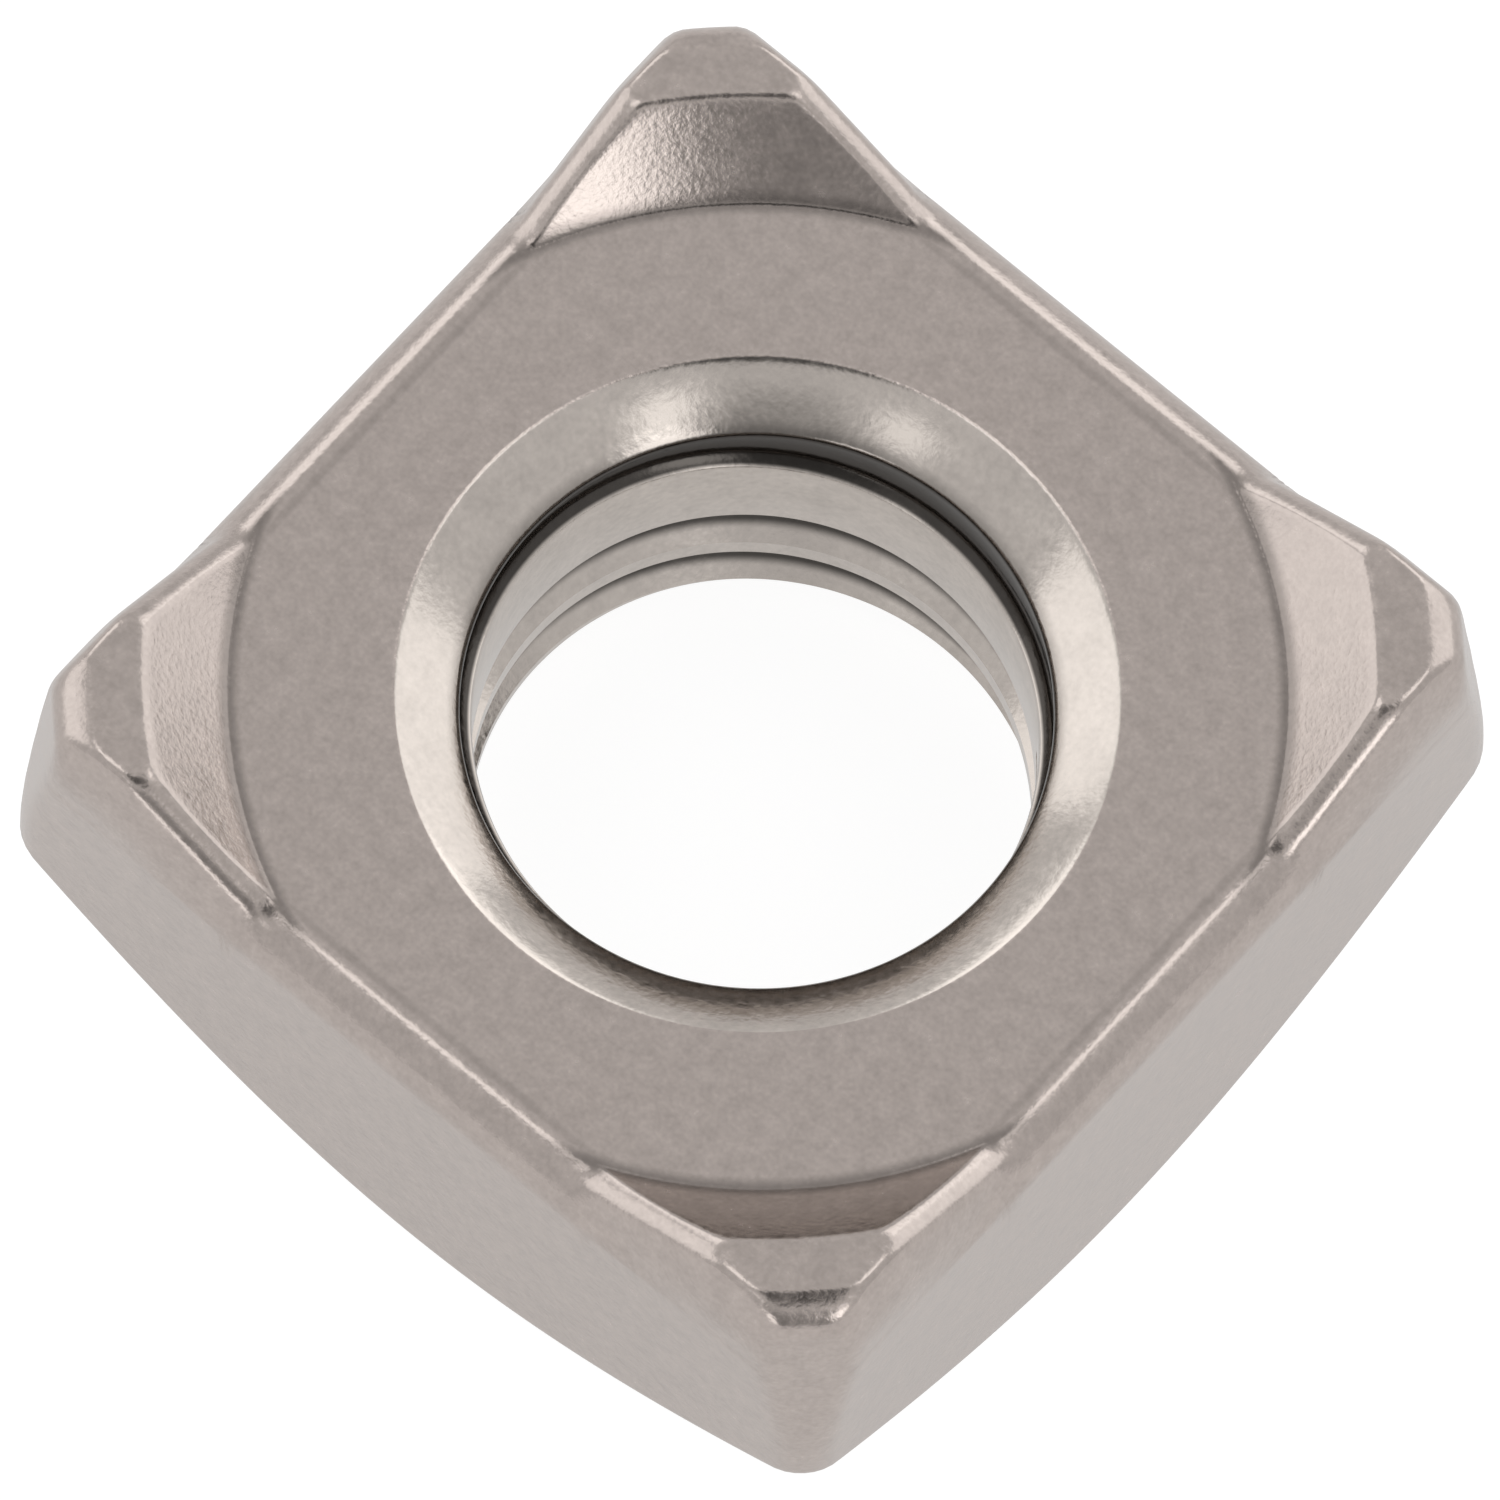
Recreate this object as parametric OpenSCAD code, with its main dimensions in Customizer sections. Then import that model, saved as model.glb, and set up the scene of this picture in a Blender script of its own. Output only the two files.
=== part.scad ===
// Square weld nut, M12: one cold-formed steel piece.
// Four corner lugs stand round a flat round seat, with a tapped bore through the middle.
// Millimetres. The bore runs along Z, the back face is at z = 0 and the lugs point up.

/* [Body] */
// Width across the flats
width = 19; // [16:0.5:24]
// Height from the back face to the lug tops
total_height = 9.5; // [7:0.25:12]
// Radius of the four upright corners, seen from above
corner_radius = 0.8; // [0.5:0.05:1.5]
// How far the turned corners stop short of the sharp square's corners
corner_cut = 0.2; // [0:0.05:1]
// Rounding of the seat's edges along the four sides
edge_radius = 1; // [0.8:0.1:1.6]
// Height of that rounding's crown above the seat
edge_crown = 0.03; // [0.02:0.01:0.2]
// Inset of the round back face from the flats
back_inset = 0.2; // [0:0.05:1]
// Slope of the chamfer round the back face
back_angle = 43; // [25:1:50]

/* [Weld lugs] */
// Height of the lugs above the seat
lug_height = 1.4; // [0.6:0.1:2]
// Inset of the round seat from the flats
seat_inset = 0.1; // [0:0.05:0.4]
// Slope of the conical riser from the seat to the lug tops
riser_angle = 43; // [35:1:60]
// How far from the flats the sloping flanks meet the riser
flank_margin = 0.9; // [0.7:0.05:1.2]
// Rounding of the lugs' sides
lug_side_radius = 4; // [3:0.25:6]
// How far the rounded sides have come in at the lug tops
lug_side_inset = 0.45; // [0.3:0.05:0.6]
// How far the flat of the lugs stops short of the turned corners
lug_end_inset = 1.4; // [1.1:0.1:1.9]
// Slope of the chamfer on the outer ends of the lugs
lug_end_angle = 22; // [10:1:40]
// Inward lean of the corners towards the lug tops
corner_lean = 8; // [2:0.5:10]

/* [Thread] */
// Nominal diameter of the thread
thread_d = 12; // [10:0.5:12]
// Pitch of the thread
thread_pitch = 1.75; // [1:0.25:2]
// Diameter of the countersink at both mouths of the bore
countersink_d = 12.9; // [12.5:0.1:14]
// Included angle of both countersinks
countersink_angle = 110; // [90:1:120]

/* [Hidden] */
$fn = 96;
half = width / 2;
seat_height = total_height - lug_height;
// Radii from the axis: corners, seat, top of the riser, flat of the lugs, back face
corner_r = half * sqrt(2) - corner_cut;
seat_r = half - seat_inset;
riser_r = seat_r + lug_height / tan(riser_angle);
lug_flat_r = corner_r - lug_end_inset;
back_r = half - back_inset;
// Height where the back chamfer reaches the corners
chamfer_z = (corner_r - back_r) * tan(back_angle);
// How far the leaning corners have come in at the lug tops
lean_in = (total_height - chamfer_z) * tan(corner_lean);
// Line where the flanks meet the riser, from its foot to its top
flank_line = half - flank_margin;
flank_foot = sqrt(seat_r * seat_r - flank_line * flank_line);
flank_top = sqrt(riser_r * riser_r - flank_line * flank_line);
flank_angle = atan(lug_height / (flank_top - flank_foot));
// Height of the rounding on the lugs' sides
lug_side_run = lug_side_radius - lug_side_inset;
lug_side_drop = sqrt(lug_side_radius * lug_side_radius - lug_side_run * lug_side_run);
// Tapped bore, at the minor diameter of the thread
minor_r = (thread_d - 1.0825 * thread_pitch) / 2;
mouth_r = countersink_d / 2;
mouth_depth = (mouth_r - minor_r) / tan(countersink_angle / 2);
reach = 2 * width;
over = 1;

// Square outline with rounded corners, upright
module block() {
    straight = width - 2 * corner_radius;
    linear_extrude(height = total_height + over) {
        square([width, straight], center = true);
        square([straight, width], center = true);
        for (x = [-1, 1], y = [-1, 1])
            translate([x * straight / 2, y * straight / 2])
                circle(r = corner_radius);
    }
}

// Turned envelope: chamfered back, leaning corners and chamfered lug ends
module envelope() {
    rim = corner_r + over;
    rotate_extrude()
        intersection() {
            polygon([
                [0, 0],
                [back_r, 0],
                [corner_r, chamfer_z],
                [corner_r - lean_in, total_height],
                [0, total_height]
            ]);
            polygon([
                [0, -over],
                [rim, -over],
                [rim, total_height + (lug_flat_r - rim) * tan(lug_end_angle)],
                [0, total_height + lug_flat_r * tan(lug_end_angle)]
            ]);
        }
}

// Long bar along X, as wide as the nut, cut level at a top: both sides round over from z = -drop
module edge_bar(radius, drop, top) {
    inner = half - radius;
    rotate([90, 0, 90])
        linear_extrude(height = 2 * reach, center = true)
            intersection() {
                translate([-reach, -reach])
                    square([2 * reach, reach + top]);
                union() {
                    translate([-half, -reach])
                        square([width, reach - drop]);
                    translate([-inner, -reach])
                        square([2 * inner, reach - drop + radius]);
                    for (side = [-1, 1])
                        translate([side * inner, -drop])
                            circle(r = radius);
                }
            }
}

// Upper edges of two opposite sides: along the seat, up the flat lug flanks, along the lug tops
module upper_edges() {
    translate([0, 0, seat_height])
        edge_bar(edge_radius, edge_radius - edge_crown, over);
    for (end = [0, 180])
        rotate([0, 0, end])
            intersection() {
                translate([0, 0, total_height])
                    edge_bar(lug_side_radius, lug_side_drop, over);
                translate([flank_foot, 0, seat_height])
                    rotate([0, -flank_angle, 0])
                        edge_bar(lug_side_radius, lug_side_drop, 0);
            }
}

// Space above the round seat, widening up the conical riser
module seat_space() {
    rise = (total_height + over - seat_height) / tan(riser_angle);
    rotate_extrude()
        polygon([
            [0, seat_height],
            [seat_r, seat_height],
            [seat_r + rise, total_height + over],
            [0, total_height + over]
        ]);
}

// Tapped bore with a countersink at each mouth
module bore() {
    flare = over * tan(countersink_angle / 2);
    rotate_extrude()
        polygon([
            [0, -over],
            [mouth_r + flare, -over],
            [minor_r, mouth_depth],
            [minor_r, seat_height - mouth_depth],
            [mouth_r + flare, seat_height + over],
            [0, seat_height + over]
        ]);
}

module square_weld_nut() {
    color([0.63, 0.6, 0.58])
        difference() {
            intersection() {
                block();
                envelope();
                upper_edges();
                rotate([0, 0, 90])
                    upper_edges();
            }
            seat_space();
            bore();
        }
}

square_weld_nut();
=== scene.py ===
"""Square weld nut: the pressed steel body with its cut thread, and a plain white studio."""
import math

import bmesh
import bpy
import numpy as np
from mathutils import Matrix, Vector


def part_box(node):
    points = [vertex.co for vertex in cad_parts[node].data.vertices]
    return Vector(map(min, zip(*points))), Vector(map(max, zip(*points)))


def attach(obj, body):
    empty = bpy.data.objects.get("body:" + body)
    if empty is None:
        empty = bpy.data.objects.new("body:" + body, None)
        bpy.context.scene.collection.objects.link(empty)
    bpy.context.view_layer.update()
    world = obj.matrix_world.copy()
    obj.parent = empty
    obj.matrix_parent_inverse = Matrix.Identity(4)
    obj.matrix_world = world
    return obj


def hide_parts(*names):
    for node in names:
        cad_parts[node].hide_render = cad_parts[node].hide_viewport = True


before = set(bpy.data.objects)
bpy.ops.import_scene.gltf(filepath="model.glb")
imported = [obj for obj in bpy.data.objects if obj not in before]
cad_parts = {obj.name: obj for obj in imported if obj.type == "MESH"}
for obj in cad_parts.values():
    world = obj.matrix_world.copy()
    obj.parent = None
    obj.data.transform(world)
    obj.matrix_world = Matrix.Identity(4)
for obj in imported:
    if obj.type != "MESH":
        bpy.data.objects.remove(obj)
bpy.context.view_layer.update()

bl_info = {
    "name": "Square weld nut",
    "version": (1, 0, 0),
    "blender": (4, 5, 0),
    "location": "View3D > Sidebar > Weld nut",
    "description": "Makes a square weld nut with a cut thread, and a white studio for it",
    "category": "Add Mesh",
}

NODE = "square_weld_nut"
BODY = "root"
BOX_LOW, BOX_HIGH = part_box(NODE)
MM = 0.001
DEGREE = math.pi / 180


def length(name, description, millimetres):
    """A size that a user may change, shown in the scene's length unit."""
    return bpy.props.FloatProperty(
        name=name, description=description, default=millimetres * MM,
        min=0.0, precision=5, unit="LENGTH")


def angle(name, description, degrees):
    """An angle that a user may change, shown in degrees."""
    return bpy.props.FloatProperty(
        name=name, description=description, default=degrees * DEGREE, subtype="ANGLE")


def share(name, description, value):
    """A plain number between nothing and one."""
    return bpy.props.FloatProperty(
        name=name, description=description, default=value,
        min=0.0, max=1.0, subtype="FACTOR")


def colour(name, description, value):
    """A colour that a user may change."""
    return bpy.props.FloatVectorProperty(
        name=name, description=description, default=value,
        size=3, min=0.0, max=1.0, subtype="COLOR")


def level(name, description, value):
    """A brightness or strength."""
    return bpy.props.FloatProperty(
        name=name, description=description, default=value, min=0.0)


class NutSizes(bpy.types.PropertyGroup):
    """Sizes of the nut."""

    width: length("Width", "Width across the flats", (BOX_HIGH.x - BOX_LOW.x) / MM)
    height: length("Height", "Back face to lug tops", (BOX_HIGH.z - BOX_LOW.z) / MM)
    lug_height: length("Lug height", "Height of the lugs above the seat", 1.4)
    seat_inset: length("Seat inset", "Inset of the round seat from the flats", 0.1)
    riser_angle: angle("Riser slope", "Slope of the riser from seat to lug tops", 43)
    corner_radius: length("Corner radius", "Radius of the upright corners", 0.8)
    corner_cut: length("Corner cut", "How far the corners stop short of a sharp square", 0.2)
    corner_lean: angle("Corner lean", "Inward lean of the corners towards the lugs", 8)
    lug_end_inset: length("Lug end inset", "How far the lugs' flat stops short of the corners", 1.4)
    lug_end_angle: angle("Lug end slope", "Slope of the chamfer on the outer ends of the lugs", 22)
    edge_radius: length("Edge radius", "Rounding of the seat's edges along the sides", 1)
    edge_crown: length("Edge crown", "Crown of that rounding above the seat", 0.03)
    flank_margin: length("Flank margin", "Distance from the flats where the flanks meet the riser", 0.9)
    lug_side_radius: length("Lug side radius", "Rounding of the sides of the lugs", 4)
    lug_side_inset: length("Lug side inset", "How far the rounded sides come in at the lug tops", 0.45)
    back_inset: length("Back inset", "Inset of the round back face from the flats", 0.2)
    back_angle: angle("Back chamfer", "Slope of the chamfer round the back face", 43)
    mouth_diameter: length("Countersink", "Diameter of both countersinks", 12.9)
    mouth_angle: angle("Countersink angle", "Included angle of both countersinks", 110)
    thread_diameter: length("Thread", "Nominal diameter of the thread", 12)
    thread_pitch: length("Pitch", "Pitch of the right-hand thread", 1.75)
    thread_turn: angle("Thread start", "Turn of the thread about the axis", 147)
    thread_top: length("Thread top", "Height where the thread groove has run out", 4.75)
    lead_diameter: length("Lead-in", "Diameter of the countersink where the lead-in begins", 10.54)
    lead_foot: length("Lead-in foot", "Height of the shoulder under the lead-in", 6.29)


class SteelFinish(bpy.types.PropertyGroup):
    """Finish of the bare steel."""

    pressed_colour: colour("Pressed steel", "Colour of the pressed faces", (0.52, 0.457, 0.423))
    cut_colour: colour("Cut steel", "Colour of the countersinks and thread", (0.61, 0.555, 0.51))
    pressed_roughness: share("Pressed roughness", "Roughness of the pressed faces", 0.23)
    cut_roughness: share("Cut roughness", "Roughness of the cut faces", 0.18)
    grain: share("Grain", "Depth of the fine grain", 0.35)


class StudioLook(bpy.types.PropertyGroup):
    """Floor, light and camera of the studio."""

    floor_colour: colour("Floor", "Colour of the floor", (0.9, 0.9, 0.9))
    floor_glow: level("Floor glow", "How far the floor is lifted towards white", 0.9)
    floor_mirrored: level("Mirrored floor", "Brightness of the floor in the steel", 0.62)
    tent_level: level("Tent", "Brightness of the surrounding tent", 0.68)
    box_level: level("Soft boxes", "Brightness of the two soft boxes", 0.65)
    azimuth: angle("Azimuth", "Direction of the camera round the nut", 37.7018)
    elevation: angle("Elevation", "Height of the camera above the horizon", 68.1886)
    roll: angle("Roll", "Turn of the camera about its own axis", 3.4807)
    distance: length("Distance", "Camera to the middle of the seat", 450)
    lens: level("Lens", "Focal length on a 36 mm wide sensor, in millimetres", 610.1)
    aim_right: bpy.props.FloatProperty(
        name="Aim right", description="Camera's sideways offset from the seat's middle",
        default=-0.1418 * MM, precision=6, unit="LENGTH")
    aim_up: bpy.props.FloatProperty(
        name="Aim up", description="Camera's upward offset from the seat's middle",
        default=-1.0153 * MM, precision=6, unit="LENGTH")


# Shape of the pressed body, in millimetres

STEPS = 480
STATIONS = 100
RAYS = 900
RAY_CENTRE = (7.6, 4.4)
FLAT_START = 6.9
# Widths over which the edges between the pressed faces are rounded
SHARP_EDGE = 0.03
KEEN_EDGE = 0.05
PLAIN_EDGE = 0.1
BACK_EDGE = 0.12
LUG_EDGE = 0.15
FLANK_EDGE = 0.3
CORNER_EDGE = 0.4
# Depth of the thread as a share of its pitch, and the slope of its faces
THREAD_DEPTH = 0.54127
THREAD_SLOPE = 30 * DEGREE
# Rounding of the countersinks' rims, their bulge, and how far the lead-in is cut behind its rim
RIM = 0.1
BULGE = 7 * DEGREE
LEAD_RECESS = 0.1


def smooth_max(a, b, k):
    """The larger of two distances, with the edge between the faces rounded over k."""
    h = np.clip(0.5 + 0.5 * (a - b) / k, 0.0, 1.0)
    return b + (a - b) * h + k * h * (1.0 - h)


def smooth_min(a, b, k):
    """The smaller of two distances, with the inner corner filled over k."""
    return -smooth_max(-a, -b, k)


def rounded_corner(a, b, radius):
    """Distance to two faces square to each other, with a true rounding between them."""
    across = np.hypot(np.maximum(a + radius, 0.0), np.maximum(b + radius, 0.0))
    return across + np.minimum(np.maximum(a, b) + radius, 0.0) - radius


class Form:
    """The nut's sizes in millimetres, and the distance to its pressed faces."""

    def __init__(self, sizes):
        self.half = sizes.width / MM / 2
        self.top = sizes.height / MM
        self.seat = self.top - sizes.lug_height / MM
        self.seat_r = self.half - sizes.seat_inset / MM
        self.riser = sizes.riser_angle
        self.corner_radius = sizes.corner_radius / MM
        self.corner_r = self.half * math.sqrt(2) - sizes.corner_cut / MM
        self.lean = sizes.corner_lean
        self.lug_flat_r = self.corner_r - sizes.lug_end_inset / MM
        self.lug_end = sizes.lug_end_angle
        self.edge = sizes.edge_radius / MM
        self.edge_crown = sizes.edge_crown / MM
        flank_line = self.half - sizes.flank_margin / MM
        self.riser_r = self.seat_r + (self.top - self.seat) / math.tan(self.riser)
        self.flank_foot = math.sqrt(self.seat_r ** 2 - flank_line ** 2)
        flank_top = math.sqrt(self.riser_r ** 2 - flank_line ** 2)
        self.flank = math.atan2(self.top - self.seat, flank_top - self.flank_foot)
        self.lug_side = sizes.lug_side_radius / MM
        lug_run = self.lug_side - sizes.lug_side_inset / MM
        self.lug_crown = self.lug_side - math.sqrt(self.lug_side ** 2 - lug_run ** 2)
        self.back_r = self.half - sizes.back_inset / MM
        self.back = sizes.back_angle
        self.chamfer_z = (self.corner_r - self.back_r) * math.tan(self.back)
        self.pitch = sizes.thread_pitch / MM
        self.major_r = sizes.thread_diameter / MM / 2
        self.minor_r = self.major_r - THREAD_DEPTH * self.pitch
        self.mouth_r = sizes.mouth_diameter / MM / 2
        self.mouth_run = math.tan(sizes.mouth_angle / 2)
        self.mouth_depth = (self.mouth_r - self.minor_r) / self.mouth_run
        self.turn = sizes.thread_turn
        self.thread_top = sizes.thread_top / MM
        self.thread_end = self.turn + 2 * math.pi * (self.thread_top / self.pitch + 1)
        self.lead_r = sizes.lead_diameter / MM / 2
        self.lead_z = self.seat - (self.mouth_r - self.lead_r) / self.mouth_run
        self.lead_foot = sizes.lead_foot / MM

    def edge_bar(self, out, along, z):
        """Edge rounding of one pair of sides: along the seat, up the flanks, along the lugs."""
        side = out - self.half
        level_seat = rounded_corner(side, z - self.seat - self.edge_crown, self.edge)
        climb = (z - self.seat) * math.cos(self.flank)
        climb = climb - (along - self.flank_foot) * math.sin(self.flank)
        slope = rounded_corner(side, climb - self.lug_crown, self.lug_side)
        slope = smooth_max(slope, climb, FLANK_EDGE)
        level_lug = rounded_corner(side, z - self.top - self.lug_crown, self.lug_side)
        return smooth_min(level_seat, smooth_max(slope, level_lug, KEEN_EDGE), PLAIN_EDGE)

    def distance(self, x, y, z):
        """Less than nothing inside the pressed body, more outside it."""
        x, y, r = np.abs(x), np.abs(y), np.hypot(x, y)
        sides = rounded_corner(x - self.half, y - self.half, self.corner_radius)
        bars = smooth_max(self.edge_bar(x, y, z), self.edge_bar(y, x, z), PLAIN_EDGE)
        sides = np.maximum(sides, bars)
        leaning = r - self.corner_r + (z - self.chamfer_z) * math.tan(self.lean)
        end = (z - self.top) * math.cos(self.lug_end) + (r - self.lug_flat_r) * math.sin(self.lug_end)
        lug = smooth_max(z - self.top, end, SHARP_EDGE)
        lug = smooth_max(lug, leaning * math.cos(self.lean), CORNER_EDGE)
        riser = (z - self.seat) * math.cos(self.riser) - (r - self.seat_r) * math.sin(self.riser)
        lug = smooth_max(lug, smooth_min(z - self.seat, riser, KEEN_EDGE), PLAIN_EDGE)
        softness = np.interp(r, (self.riser_r, self.riser_r + 0.3), (SHARP_EDGE, LUG_EDGE))
        body = smooth_max(sides, lug, softness)
        cone = (r - self.back_r) * math.sin(self.back) - z * math.cos(self.back)
        return smooth_max(body, smooth_max(cone, -z, KEEN_EDGE), BACK_EDGE)


def outer_section(form, turn):
    """Points of the body's outer outline in the half plane at one turn about the axis."""
    start = math.atan2(form.seat - RAY_CENTRE[1], FLAT_START - RAY_CENTRE[0])
    end = math.atan2(-RAY_CENTRE[1], FLAT_START - RAY_CENTRE[0])
    ray = np.linspace(start, end, RAYS)
    step_r, step_z = np.cos(ray), np.sin(ray)
    near, far = np.zeros(RAYS), np.full(RAYS, 14.0)
    for _ in range(40):
        reach = (near + far) / 2
        r = RAY_CENTRE[0] + reach * step_r
        z = RAY_CENTRE[1] + reach * step_z
        outside = form.distance(r * math.cos(turn), r * math.sin(turn), z) > 0
        near, far = np.where(outside, near, reach), np.where(outside, reach, far)
    r, z = RAY_CENTRE[0] + near * step_r, RAY_CENTRE[1] + near * step_z
    return spread(r, z)


def spread(r, z):
    """Shares the stations out along an outline, closer together where it bends."""
    run = np.hypot(np.diff(r), np.diff(z))
    heading = np.unwrap(np.arctan2(np.diff(z), np.diff(r)))
    swing = np.abs(np.diff(heading))
    swing = np.concatenate(([0.0], swing)) + np.concatenate((swing, [0.0]))
    swing = np.convolve(swing, np.ones(9) / 9, mode="same")
    weight = run / 0.45 + swing / 2 / (7 * DEGREE)
    place = np.concatenate(([0.0], np.cumsum(weight)))
    wanted = np.linspace(0.0, place[-1], STATIONS)
    return np.stack((np.interp(wanted, place, r), np.interp(wanted, place, z)), axis=1)


def bend(first, corner, last):
    """Points of a small rounding between two lines that meet at a corner."""
    first, corner, last = np.array(first), np.array(corner), np.array(last)
    share_along = np.linspace(0.0, 1.0, 5)[:, None]
    early = first + (corner - first) * share_along
    late = corner + (last - corner) * share_along
    return [tuple(point) for point in early + (late - early) * share_along]


def mouth(form, inner_r, z, up):
    """Outline of a countersink from its flat inwards: a slightly bulging cone with rounded rims."""
    slope = math.atan2(1.0, form.mouth_run)
    slopes = np.linspace(slope - BULGE, slope + BULGE, 15)
    radius = (form.mouth_r - inner_r) / (math.sin(slopes[-1]) - math.sin(slopes[0]))
    r = form.mouth_r - radius * (np.sin(slopes) - math.sin(slopes[0]))
    cone = list(zip(r, z - up * radius * (math.cos(slopes[0]) - np.cos(slopes))))
    outer = bend((form.mouth_r + RIM / 2, z), cone[0], cone[1])
    inner = bend(cone[-2], cone[-1], (inner_r, cone[-1][1] - up * RIM))
    return outer + cone[2:-2] + inner


def inner_section(form):
    """Points of the bore with its lead-in and both countersinks, from the back face to the seat."""
    back = mouth(form, form.minor_r, 0.0, -1)
    front = mouth(form, form.lead_r, form.seat, 1)
    wall = [
        (form.minor_r, form.seat / 2),
        (form.minor_r, form.lead_foot - 0.08),
        (form.minor_r + 0.03, form.lead_foot),
        (form.lead_r, form.lead_foot + 0.12),
        (form.lead_r + LEAD_RECESS, form.lead_foot + 0.3),
        (form.lead_r + LEAD_RECESS, form.lead_z - 0.25),
    ]
    return back + wall + front[::-1]


def pressed_body(form):
    """Spins a turned blank, presses it to the square form and tilts the lead-in's shoulder."""
    inner = inner_section(form)
    eighth = STEPS // 8
    outer = [outer_section(form, 2 * math.pi * i / STEPS) for i in range(eighth + 1)]
    blank = [tuple(p) for p in outer[0]] + inner
    bm = bmesh.new()
    station = bm.verts.layers.int.new("station")
    ring = []
    for i, (r, z) in enumerate(blank):
        vert = bm.verts.new((r, 0.0, z))
        vert[station] = i
        ring.append(vert)
    wire = [bm.edges.new((a, b)) for a, b in zip(ring, ring[1:] + ring[:1])]
    bmesh.ops.spin(
        bm, geom=ring + wire, cent=(0, 0, 0), axis=(0, 0, 1), dvec=(0, 0, 0),
        angle=2 * math.pi, steps=STEPS, use_merge=True, use_normal_flip=False,
        use_duplicate=False)
    for vert in bm.verts:
        turn = math.atan2(vert.co.y, vert.co.x)
        if vert[station] >= STATIONS:
            follows = np.interp(vert.co.z - form.lead_foot, (-0.6, -0.1, 0.3, 0.7), (0, 1, 1, 0))
            vert.co.z -= follows * form.pitch / 4 * math.cos(turn - form.thread_end)
            continue
        i = round(turn * STEPS / (2 * math.pi)) % (STEPS // 4)
        r, z = outer[min(i, STEPS // 4 - i)][vert[station]]
        vert.co = (r * math.cos(turn), r * math.sin(turn), z)
    bmesh.ops.remove_doubles(bm, verts=bm.verts, dist=1e-4)
    bmesh.ops.recalc_face_normals(bm, faces=bm.faces)
    return bm


def thread_groove(form):
    """A long right-hand screw groove that cuts the thread into the bore."""
    steps_a_turn = 200
    run_out = 0.28
    inside = 0.25
    root = form.pitch / 16
    opening = 3 * form.pitch / 8 + inside * math.tan(THREAD_SLOPE)
    low = -form.pitch
    turns = (form.thread_top - low) / form.pitch
    steps = round(steps_a_turn * turns)
    bm = bmesh.new()
    points = (
        (form.minor_r - inside, low - opening),
        (form.major_r, low - root),
        (form.major_r, low + root),
        (form.minor_r - inside, low + opening),
    )
    ring = [bm.verts.new((r, 0.0, z)) for r, z in points]
    wire = [bm.edges.new((a, b)) for a, b in zip(ring, ring[1:] + ring[:1])]
    bmesh.ops.spin(
        bm, geom=ring + wire, cent=(0, 0, 0), axis=(0, 0, 1),
        dvec=(0, 0, form.pitch * turns / steps), angle=2 * math.pi * turns,
        steps=steps, use_merge=False, use_normal_flip=False, use_duplicate=False)
    for vert in bm.verts:
        reach = math.hypot(vert.co.x, vert.co.y)
        left = turns - (vert.co.z - low) / form.pitch
        if reach > form.minor_r and left < run_out:
            shallower = reach - (form.major_r - form.minor_r + 0.1) * min(1 - left / run_out, 1)
            vert.co.xy *= shallower / reach
    bmesh.ops.rotate(bm, verts=bm.verts, cent=(0, 0, 0), matrix=Matrix.Rotation(form.turn, 3, "Z"))
    bmesh.ops.holes_fill(bm, edges=[e for e in bm.edges if e.is_boundary], sides=4)
    bmesh.ops.recalc_face_normals(bm, faces=bm.faces)
    return bm


def loose_object(name, bm):
    """A mesh object in the scene that takes over a bmesh."""
    mesh = bpy.data.meshes.new(name)
    bm.to_mesh(mesh)
    bm.free()
    made = bpy.data.objects.new(name, mesh)
    bpy.context.scene.collection.objects.link(made)
    return made


def cut_away(body, cutter):
    """The mesh of a body with a cutter taken out of it; both objects go."""
    cut = body.modifiers.new("cut", "BOOLEAN")
    cut.operation = "DIFFERENCE"
    cut.solver = "EXACT"
    cut.object = cutter
    bpy.context.view_layer.update()
    ready = body.evaluated_get(bpy.context.evaluated_depsgraph_get())
    result = bmesh.new()
    result.from_mesh(ready.to_mesh())
    ready.to_mesh_clear()
    for used in (body, cutter):
        mesh = used.data
        bpy.data.objects.remove(used)
        bpy.data.meshes.remove(mesh)
    return result


def finish_faces(bm, form):
    """Smooth faces with crisp thread edges, and the cut faces set apart from the pressed ones."""
    bmesh.ops.remove_doubles(bm, verts=bm.verts, dist=1e-4)
    bmesh.ops.dissolve_degenerate(bm, dist=1e-4, edges=bm.edges)
    bmesh.ops.recalc_face_normals(bm, faces=bm.faces)
    for edge in bm.edges:
        edge.smooth = edge.calc_face_angle(0.0) < 30 * DEGREE
    for face in bm.faces:
        middle = face.calc_center_median()
        face.smooth = True
        face.material_index = 1 if math.hypot(middle.x, middle.y) < form.mouth_r - 0.01 else 0
    bmesh.ops.scale(bm, verts=bm.verts, vec=(MM, MM, MM))


# Finishes of the steel, with painted shade in its creases and hollows

# How much darker the painted shade makes the creases, edges and deep places
PAINTED_FOOT_SHADE = 0.45
PAINTED_EDGE_SHADE = 0.15
PAINTED_DEEP_SHADE = 0.85
PAINTED_LEAD_SHADE = 0.88
PAINTED_RIM_SHADE = 0.4


def named_node(nodes, kind, place, **values):
    """Adds a shader node at a place, with its values set."""
    made = nodes.new(kind)
    made.location = (place[0] * 200, place[1] * -200)
    for key, value in values.items():
        setattr(made, key, value)
    return made


def calculate(nodes, links, operation, first, second, place):
    """A math node that joins two sockets or numbers."""
    made = named_node(nodes, "ShaderNodeMath", place, operation=operation)
    for socket, given in zip(made.inputs, (first, second)):
        if isinstance(given, (int, float)):
            socket.default_value = given
        else:
            links.new(given, socket)
    return made.outputs[0]


def fade(nodes, links, value, ends, place, results=(0.0, 1.0)):
    """Goes softly from one result to the other while a value goes between two ends."""
    made = named_node(nodes, "ShaderNodeMapRange", place, interpolation_type="SMOOTHSTEP")
    made.inputs["From Min"].default_value, made.inputs["From Max"].default_value = ends
    made.inputs["To Min"].default_value, made.inputs["To Max"].default_value = results
    links.new(value, made.inputs["Value"])
    return made.outputs["Result"]


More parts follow.
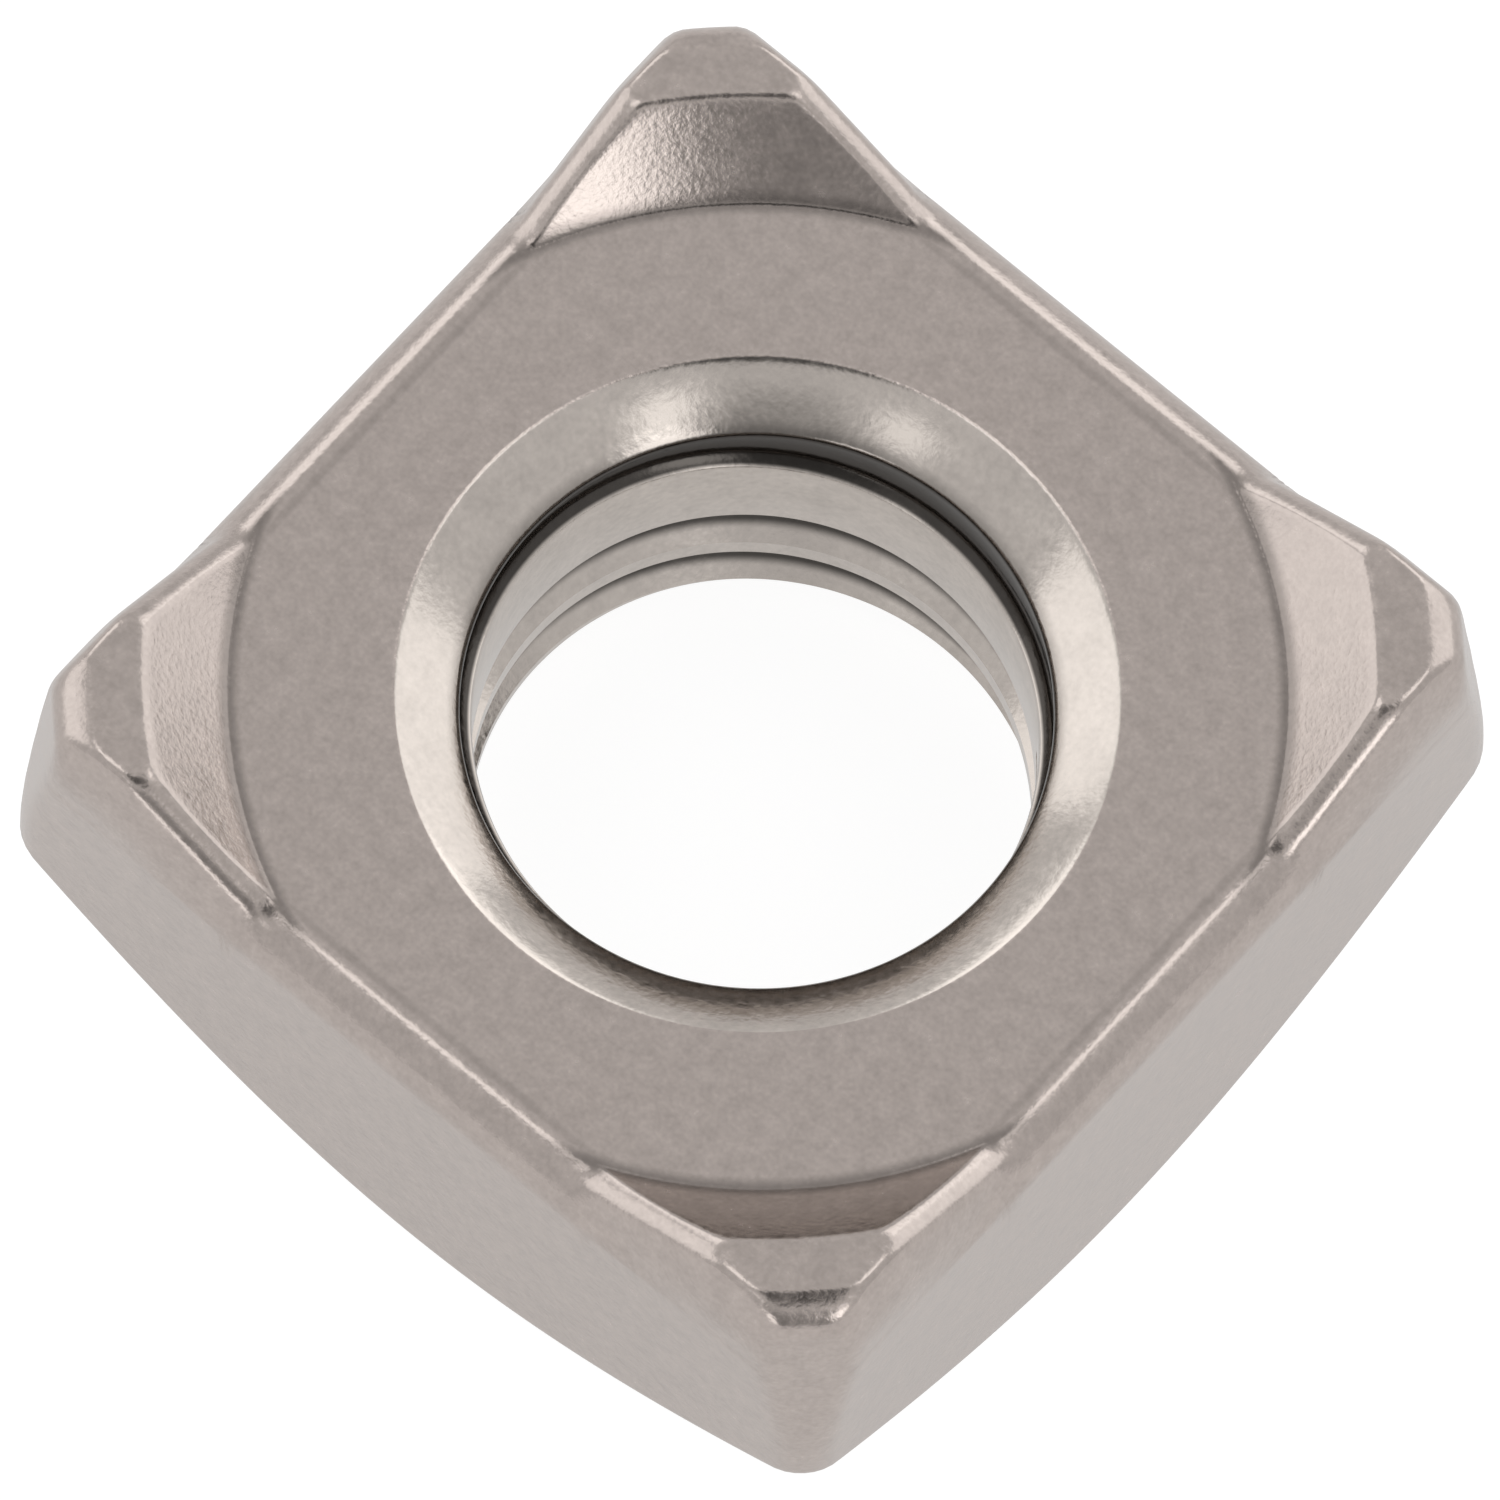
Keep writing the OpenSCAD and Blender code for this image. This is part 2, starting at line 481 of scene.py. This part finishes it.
def nut_place_group():
    """Where a point of the nut lies, in millimetres: from the axis, from the middle lines, in height."""
    group = bpy.data.node_groups.new("nut place", "ShaderNodeTree")
    for name in ("Radius", "Outward", "Height"):
        group.interface.new_socket(name, in_out="OUTPUT", socket_type="NodeSocketFloat")
    nodes, links = group.nodes, group.links
    result = named_node(nodes, "NodeGroupOutput", (6, 0))
    place = named_node(nodes, "ShaderNodeTexCoord", (0, 0))
    large = named_node(nodes, "ShaderNodeVectorMath", (1, 0), operation="SCALE")
    large.inputs["Scale"].default_value = 1 / MM
    links.new(place.outputs["Object"], large.inputs[0])
    flat = named_node(nodes, "ShaderNodeVectorMath", (2, 0), operation="MULTIPLY")
    flat.inputs[1].default_value = (1, 1, 0)
    links.new(large.outputs["Vector"], flat.inputs[0])
    radius = named_node(nodes, "ShaderNodeVectorMath", (3, 0), operation="LENGTH")
    links.new(flat.outputs["Vector"], radius.inputs[0])
    folded = named_node(nodes, "ShaderNodeVectorMath", (3, 1), operation="ABSOLUTE")
    links.new(large.outputs["Vector"], folded.inputs[0])
    parts = named_node(nodes, "ShaderNodeSeparateXYZ", (4, 1))
    links.new(folded.outputs["Vector"], parts.inputs[0])
    outward = calculate(nodes, links, "MAXIMUM", parts.outputs["X"], parts.outputs["Y"], (5, 1))
    links.new(radius.outputs["Value"], result.inputs["Radius"])
    links.new(outward, result.inputs["Outward"])
    links.new(parts.outputs["Z"], result.inputs["Height"])
    return group


def painted_crease_shade(nodes, links, place, form):
    """Painted shade: darker in the crease at the foot of the risers, and a little along the seat's
    edges.
    """
    height = place.outputs["Height"]
    above = fade(nodes, links, height, (form.seat - 0.06, form.seat - 0.01), (-8, 4))
    from_foot = calculate(nodes, links, "SUBTRACT", place.outputs["Radius"], form.seat_r, (-9, 5))
    from_foot = calculate(nodes, links, "ABSOLUTE", from_foot, 0.0, (-8, 5))
    foot = fade(nodes, links, from_foot, (0.26, 0.02), (-7, 5), (0.0, PAINTED_FOOT_SHADE))
    line = form.half - form.edge + 0.05
    from_line = calculate(nodes, links, "SUBTRACT", place.outputs["Outward"], line, (-9, 6))
    from_line = calculate(nodes, links, "ABSOLUTE", from_line, 0.0, (-8, 6))
    edge = fade(nodes, links, from_line, (0.13, 0.02), (-7, 6), (0.0, PAINTED_EDGE_SHADE))
    low = fade(nodes, links, height, (form.seat + 0.1, form.seat + 0.05), (-7, 7))
    edge = calculate(nodes, links, "MULTIPLY", edge, low, (-6, 6))
    both = calculate(nodes, links, "MAXIMUM", foot, edge, (-5, 5))
    shadow = calculate(nodes, links, "MULTIPLY", both, above, (-4, 5))
    return calculate(nodes, links, "SUBTRACT", 1.0, shadow, (-3, 5))


def painted_groove_shade(nodes, links, place, form):
    """Painted shade: darker deep in the thread and in its lead-in, and along the rim above the lead-in.
    """
    middle = form.seat / 2
    from_middle = calculate(nodes, links, "SUBTRACT", place.outputs["Height"], middle, (-10, 4))
    from_middle = calculate(nodes, links, "ABSOLUTE", from_middle, 0.0, (-9, 4))
    past_wall = calculate(nodes, links, "SUBTRACT", from_middle, middle - form.mouth_depth, (-8, 4))
    flare = calculate(nodes, links, "MULTIPLY", past_wall, form.mouth_run, (-7, 4))
    flare = calculate(nodes, links, "MAXIMUM", flare, 0.0, (-6, 4))
    depth = calculate(nodes, links, "SUBTRACT", place.outputs["Radius"], flare, (-5, 4))
    ends = (form.minor_r + 0.22, form.minor_r + 0.4)
    deep = fade(nodes, links, depth, ends, (-4, 4), (0.0, PAINTED_DEEP_SHADE))
    from_rim = calculate(nodes, links, "SUBTRACT", place.outputs["Height"], form.lead_z, (-8, 5))
    below = fade(nodes, links, from_rim, (0.04, -0.02), (-6, 6))
    low = form.lead_foot - form.lead_z - form.pitch / 2
    above = fade(nodes, links, from_rim, (low, low + 0.2), (-6, 7))
    ends = (form.minor_r + 0.02, form.minor_r + 0.1)
    lead = fade(nodes, links, place.outputs["Radius"], ends, (-6, 8))
    lead = calculate(nodes, links, "MULTIPLY", lead, below, (-5, 6))
    lead = calculate(nodes, links, "MULTIPLY", lead, above, (-4, 6))
    lead = calculate(nodes, links, "MULTIPLY", lead, PAINTED_LEAD_SHADE, (-3, 6))
    from_rim = calculate(nodes, links, "ABSOLUTE", from_rim, 0.0, (-7, 5))
    rim = fade(nodes, links, from_rim, (0.24, 0.03), (-4, 5), (0.0, PAINTED_RIM_SHADE))
    shadow = calculate(nodes, links, "MAXIMUM", deep, rim, (-3, 4))
    shadow = calculate(nodes, links, "MAXIMUM", shadow, lead, (-2, 4))
    return calculate(nodes, links, "SUBTRACT", 1.0, shadow, (-1, 4))


def steel_grain_group():
    """Fine grain, soft mottling and tiny pits of bare steel, shared by both finishes."""
    group = bpy.data.node_groups.new("steel grain", "ShaderNodeTree")
    face = group.interface
    face.new_socket("Grain scale", in_out="INPUT", socket_type="NodeSocketFloat").default_value = 9000
    face.new_socket("Mottle scale", in_out="INPUT", socket_type="NodeSocketFloat").default_value = 900
    face.new_socket("Shade", in_out="OUTPUT", socket_type="NodeSocketFloat")
    face.new_socket("Roughness", in_out="OUTPUT", socket_type="NodeSocketFloat")
    face.new_socket("Height", in_out="OUTPUT", socket_type="NodeSocketFloat")
    nodes, links = group.nodes, group.links
    given = named_node(nodes, "NodeGroupInput", (0, 0))
    result = named_node(nodes, "NodeGroupOutput", (6, 0))
    place = named_node(nodes, "ShaderNodeTexCoord", (0, 2))
    grain = named_node(nodes, "ShaderNodeTexNoise", (2, 0))
    grain.inputs["Detail"].default_value = 3
    mottle = named_node(nodes, "ShaderNodeTexNoise", (2, 2))
    mottle.inputs["Detail"].default_value = 4
    for noise, scale in ((grain, "Grain scale"), (mottle, "Mottle scale")):
        links.new(place.outputs["Object"], noise.inputs["Vector"])
        links.new(given.outputs[scale], noise.inputs["Scale"])
    both = named_node(nodes, "ShaderNodeMath", (3, 1), operation="ADD")
    links.new(grain.outputs["Fac"], both.inputs[0])
    links.new(mottle.outputs["Fac"], both.inputs[1])
    shade = named_node(nodes, "ShaderNodeMapRange", (4, 0))
    shade.inputs["From Min"].default_value = 0.6
    shade.inputs["From Max"].default_value = 1.4
    shade.inputs["To Min"].default_value = 0.88
    shade.inputs["To Max"].default_value = 1.12
    rough = named_node(nodes, "ShaderNodeMapRange", (4, 2))
    rough.inputs["From Min"].default_value = 0.6
    rough.inputs["From Max"].default_value = 1.4
    rough.inputs["To Min"].default_value = -0.05
    rough.inputs["To Max"].default_value = 0.05
    links.new(both.outputs[0], shade.inputs["Value"])
    links.new(both.outputs[0], rough.inputs["Value"])
    links.new(shade.outputs["Result"], result.inputs["Shade"])
    links.new(rough.outputs["Result"], result.inputs["Roughness"])
    links.new(grain.outputs["Fac"], result.inputs["Height"])
    return group


def steel(name, groups, base, roughness, grain, scales, shade, form):
    """Bare steel whose colour, gloss and surface vary with the grain, with painted shade in its creases.
    """
    made = bpy.data.materials.new(name)
    made.use_nodes = True
    nodes, links = made.node_tree.nodes, made.node_tree.links
    shader = nodes["Principled BSDF"]
    shader.inputs["Metallic"].default_value = 1.0
    texture = named_node(nodes, "ShaderNodeGroup", (-5, 0))
    texture.node_tree = groups["grain"]
    texture.inputs["Grain scale"].default_value = scales[0]
    texture.inputs["Mottle scale"].default_value = scales[1]
    tint = named_node(nodes, "ShaderNodeVectorMath", (-2, 0), operation="SCALE")
    tint.inputs[0].default_value = base
    place = named_node(nodes, "ShaderNodeGroup", (-12, 4))
    place.node_tree = groups["place"]
    # Painted shade: the given shade function darkens the colour in creases and hollows
    painted_shade_factor = shade(nodes, links, place, form)
    total = calculate(nodes, links, "MULTIPLY", texture.outputs["Shade"], painted_shade_factor, (-3, 0))
    links.new(total, tint.inputs["Scale"])
    links.new(tint.outputs["Vector"], shader.inputs["Base Color"])
    gloss = named_node(nodes, "ShaderNodeMath", (-2, 1), operation="ADD")
    gloss.inputs[1].default_value = roughness
    links.new(texture.outputs["Roughness"], gloss.inputs[0])
    links.new(gloss.outputs[0], shader.inputs["Roughness"])
    bump = named_node(nodes, "ShaderNodeBump", (-2, 2))
    bump.inputs["Strength"].default_value = grain
    bump.inputs["Distance"].default_value = 0.02 * MM
    links.new(texture.outputs["Height"], bump.inputs["Height"])
    links.new(bump.outputs["Normal"], shader.inputs["Normal"])
    return made


class NUT_OT_square_weld_nut(bpy.types.Operator):
    """Make the pressed nut with its cut thread"""

    bl_idname = "nut.square_weld_nut"
    bl_label = "Square weld nut"
    bl_options = {"REGISTER", "UNDO"}

    def execute(self, context):
        finish = context.scene.nut_finish
        form = Form(context.scene.nut_sizes)
        blank = loose_object("pressed_blank", pressed_body(form))
        groove = loose_object("thread_groove", thread_groove(form))
        bm = cut_away(blank, groove)
        if not bm.faces:
            raise RuntimeError("the thread cut left no nut")
        finish_faces(bm, form)
        nut = loose_object("square_nut", bm)
        groups = {"grain": steel_grain_group(), "place": nut_place_group()}
        # Each steel gets painted shade: in the pressed faces' creases, and deep in the cut thread and
        # its lead-in
        nut.data.materials.append(steel(
            "pressed steel", groups, finish.pressed_colour, finish.pressed_roughness,
            finish.grain, (9000, 2600), painted_crease_shade, form))
        nut.data.materials.append(steel(
            "cut steel", groups, finish.cut_colour, finish.cut_roughness,
            finish.grain * 0.6, (7000, 1500), painted_groove_shade, form))
        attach(nut, BODY)
        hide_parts(NODE)
        return {"FINISHED"}


# Studio

# Turn to the right of the camera's side and rise in degrees, outer and inner reach, and strength
DARK_SPOTS = (
    (0, 71, 17, 9, 0.1),
    (0, 18, 34, 10, 0.44),
)
LAMPS = (
    (29, 22, 13, 7, 1.9),
    (-22, 4, 12, 6, 1.4),
    (-90, 70, 13, 6, 1.2),
    (100, 66, 13, 6, 1.2),
    (-150, 28, 16, 7, 1.0),
    (156, 27, 16, 7, 1.0),
    (29, 40, 8, 4, 0.8),
    (-35, 39, 8, 4, 0.6),
)
# Name of each soft box and its turn from the camera's right, in degrees
SOFT_BOXES = (("right_box", 34), ("left_box", 164))
# Rise of the soft boxes' lower and upper edges in degrees, their width and distance in metres
BOX_RISE = (2, 44)
BOX_WIDTH = 0.5
BOX_DISTANCE = 0.6
# How much of the floor's own shading is left where the floor is seen
FLOOR_SHADE = 0.28


def camera_axes(look):
    """Right, up and back directions of the camera."""
    flat = math.cos(look.elevation)
    back = Vector((
        math.sin(look.azimuth) * flat, -math.cos(look.azimuth) * flat, math.sin(look.elevation)))
    right = Vector((math.cos(look.azimuth), math.sin(look.azimuth), 0.0))
    up = back.cross(right)
    turn = Matrix.Rotation(look.roll, 3, back)
    return turn @ right, turn @ up, back


def add_camera(look, seat):
    """The camera at the viewing angle."""
    right, up, back = camera_axes(look)
    data = bpy.data.cameras.new("camera")
    data.lens = look.lens
    data.sensor_width = 36
    data.clip_start = 0.01
    data.clip_end = 20
    camera = bpy.data.objects.new("camera", data)
    bpy.context.scene.collection.objects.link(camera)
    spot = Vector((0, 0, seat)) + back * look.distance
    spot = spot + right * look.aim_right + up * look.aim_up
    camera.matrix_world = Matrix.Translation(spot) @ Matrix((right, up, back)).transposed().to_4x4()
    bpy.context.scene.camera = camera


def add_soft_box(name, direction, brightness):
    """A soft box that stands at a direction and faces the nut."""
    low, high = (math.tan(rise * DEGREE) for rise in BOX_RISE)
    tall = BOX_DISTANCE * (high - low)
    middle = BOX_DISTANCE * (high + low) / 2
    data = bpy.data.lights.new(name, "AREA")
    data.shape = "RECTANGLE"
    data.size = BOX_WIDTH
    data.size_y = tall
    data.energy = brightness * math.pi * BOX_WIDTH * tall
    box = bpy.data.objects.new(name, data)
    bpy.context.scene.collection.objects.link(box)
    outward = Vector((math.cos(direction), math.sin(direction), 0.0))
    box.location = outward * BOX_DISTANCE + Vector((0.0, 0.0, middle))
    facing = -outward
    box.rotation_euler = facing.to_track_quat("-Z", "Y").to_euler()
    box.visible_camera = False


def lobe(nodes, links, vector, direction, outer, inner, row):
    """One where the ray points within an angle of a direction, falling softly to nothing."""
    dot = named_node(nodes, "ShaderNodeVectorMath", (-6, row), operation="DOT_PRODUCT")
    dot.inputs[1].default_value = direction
    links.new(vector, dot.inputs[0])
    fall = named_node(nodes, "ShaderNodeMapRange", (-5, row), interpolation_type="SMOOTHSTEP")
    fall.inputs["From Min"].default_value = math.cos(outer)
    fall.inputs["From Max"].default_value = math.cos(inner)
    links.new(dot.outputs["Value"], fall.inputs["Value"])
    return fall.outputs["Result"]


def dim(nodes, links, value, mask, kept, place):
    """A brightness that falls to a kept share where the mask is one."""
    part = named_node(nodes, "ShaderNodeMapRange", place)
    part.inputs["To Min"].default_value = 1.0
    part.inputs["To Max"].default_value = kept
    links.new(mask, part.inputs["Value"])
    times = named_node(nodes, "ShaderNodeMath", (place[0] + 1, place[1]), operation="MULTIPLY")
    links.new(value, times.inputs[0])
    links.new(part.outputs["Result"], times.inputs[1])
    return times.outputs[0]


def lift(nodes, links, value, mask, amount, place):
    """A brightness that rises by an amount where the mask is one."""
    more = named_node(nodes, "ShaderNodeMath", place, operation="MULTIPLY_ADD")
    more.inputs[1].default_value = amount
    links.new(mask, more.inputs[0])
    links.new(value, more.inputs[2])
    return more.outputs[0]


def towards(look, turn, rise):
    """A direction at a turn to the right of the camera's side and a rise above the floor."""
    around = look.azimuth + turn * DEGREE
    flat = math.cos(rise * DEGREE)
    return Vector((math.sin(around) * flat, -math.cos(around) * flat, math.sin(rise * DEGREE)))


def add_tent(look):
    """A pale tent with the darker room in front, and white where the camera looks past the floor."""
    world = bpy.data.worlds.new("tent")
    world.use_nodes = True
    bpy.context.scene.world = world
    nodes, links = world.node_tree.nodes, world.node_tree.links
    place = named_node(nodes, "ShaderNodeTexCoord", (-8, 0))
    vector = place.outputs["Generated"]
    base = named_node(nodes, "ShaderNodeValue", (-6, -1))
    base.outputs[0].default_value = look.tent_level
    value = base.outputs[0]
    row = 0
    for turn, rise, outer, inner, kept in DARK_SPOTS:
        mask = lobe(nodes, links, vector, towards(look, turn, rise), outer * DEGREE, inner * DEGREE, row)
        value = dim(nodes, links, value, mask, kept, (-4, row))
        row += 1
    for turn, rise, outer, inner, more in LAMPS:
        mask = lobe(nodes, links, vector, towards(look, turn, rise), outer * DEGREE, inner * DEGREE, row)
        value = lift(nodes, links, value, mask, more, (-3, row))
        row += 1
    tent = nodes["Background"]
    links.new(value, tent.inputs["Strength"])
    tent.inputs["Color"].default_value = (1, 1, 1, 1)
    white = named_node(nodes, "ShaderNodeBackground", (-1, 2))
    white.inputs["Color"].default_value = (1, 1, 1, 1)
    white.inputs["Strength"].default_value = 1.0
    path = named_node(nodes, "ShaderNodeLightPath", (-2, 3))
    mix = named_node(nodes, "ShaderNodeMixShader", (1, 1))
    links.new(path.outputs["Is Camera Ray"], mix.inputs["Fac"])
    links.new(tent.outputs[0], mix.inputs[1])
    links.new(white.outputs[0], mix.inputs[2])
    links.new(mix.outputs[0], nodes["World Output"].inputs["Surface"])


def add_floor(look):
    """A wide pale floor that shows white and keeps the nut's soft shadow."""
    bm = bmesh.new()
    bmesh.ops.create_grid(bm, x_segments=1, y_segments=1, size=3.0)
    bmesh.ops.translate(bm, verts=bm.verts, vec=(0, 0, -0.01 * MM))
    floor = loose_object("floor", bm)
    made = bpy.data.materials.new("floor paper")
    made.use_nodes = True
    nodes, links = made.node_tree.nodes, made.node_tree.links
    nodes.remove(nodes["Principled BSDF"])
    paper = named_node(nodes, "ShaderNodeBsdfDiffuse", (-3, 0))
    paper.inputs["Color"].default_value = (*look.floor_colour, 1)
    soft = named_node(nodes, "ShaderNodeBsdfDiffuse", (-3, 1))
    soft.inputs["Color"].default_value = (*[c * FLOOR_SHADE for c in look.floor_colour], 1)
    glow = named_node(nodes, "ShaderNodeEmission", (-3, 2))
    glow.inputs["Color"].default_value = (1, 1, 1, 1)
    seen = named_node(nodes, "ShaderNodeAddShader", (-2, 1))
    links.new(soft.outputs[0], seen.inputs[0])
    links.new(glow.outputs[0], seen.inputs[1])
    path = named_node(nodes, "ShaderNodeLightPath", (-5, -1))
    total = path.outputs["Is Camera Ray"]
    strength = named_node(nodes, "ShaderNodeMapRange", (-4, 2))
    strength.inputs["To Min"].default_value = look.floor_mirrored
    strength.inputs["To Max"].default_value = look.floor_glow
    links.new(total, strength.inputs["Value"])
    links.new(strength.outputs["Result"], glow.inputs["Strength"])
    for i, ray in enumerate(("Is Glossy Ray", "Is Transmission Ray")):
        added = named_node(nodes, "ShaderNodeMath", (-4 + i, -1), operation="MAXIMUM")
        links.new(total, added.inputs[0])
        links.new(path.outputs[ray], added.inputs[1])
        total = added.outputs[0]
    mix = named_node(nodes, "ShaderNodeMixShader", (-1, 0))
    links.new(total, mix.inputs["Fac"])
    links.new(paper.outputs[0], mix.inputs[1])
    links.new(seen.outputs[0], mix.inputs[2])
    links.new(mix.outputs[0], nodes["Material Output"].inputs["Surface"])
    floor.data.materials.append(made)


class NUT_OT_studio(bpy.types.Operator):
    """Make the white floor, the soft light and the camera"""

    bl_idname = "nut.studio"
    bl_label = "White studio"
    bl_options = {"REGISTER", "UNDO"}

    def execute(self, context):
        scene = context.scene
        look = scene.nut_studio
        scene.view_settings.view_transform = "Standard"
        add_camera(look, scene.nut_sizes.height - scene.nut_sizes.lug_height)
        add_floor(look)
        add_tent(look)
        for name, turn in SOFT_BOXES:
            add_soft_box(name, look.azimuth + turn * DEGREE, look.box_level)
        return {"FINISHED"}


class NUT_PT_panel(bpy.types.Panel):
    """Shows the nut's sizes, its finish and the studio, with the buttons that make the nut and the
    studio
    """

    bl_idname = "NUT_PT_panel"
    bl_label = "Square weld nut"
    bl_space_type = "VIEW_3D"
    bl_region_type = "UI"
    bl_category = "Weld nut"

    def draw(self, context):
        scene = context.scene
        for group, operator in (
                (scene.nut_sizes, NUT_OT_square_weld_nut),
                (scene.nut_finish, None),
                (scene.nut_studio, NUT_OT_studio)):
            column = self.layout.box().column()
            for name in group.__annotations__:
                column.prop(group, name)
            if operator:
                column.operator(operator.bl_idname)


CLASSES = (
    NutSizes, SteelFinish, StudioLook, NUT_OT_square_weld_nut, NUT_OT_studio, NUT_PT_panel)


def register():
    for cls in CLASSES:
        bpy.utils.register_class(cls)
    bpy.types.Scene.nut_sizes = bpy.props.PointerProperty(type=NutSizes)
    bpy.types.Scene.nut_finish = bpy.props.PointerProperty(type=SteelFinish)
    bpy.types.Scene.nut_studio = bpy.props.PointerProperty(type=StudioLook)


def unregister():
    del bpy.types.Scene.nut_studio
    del bpy.types.Scene.nut_finish
    del bpy.types.Scene.nut_sizes
    for cls in reversed(CLASSES):
        bpy.utils.unregister_class(cls)


def main():
    register()
    bpy.ops.nut.square_weld_nut()
    bpy.ops.nut.studio()


if __name__ == "__main__":
    main()
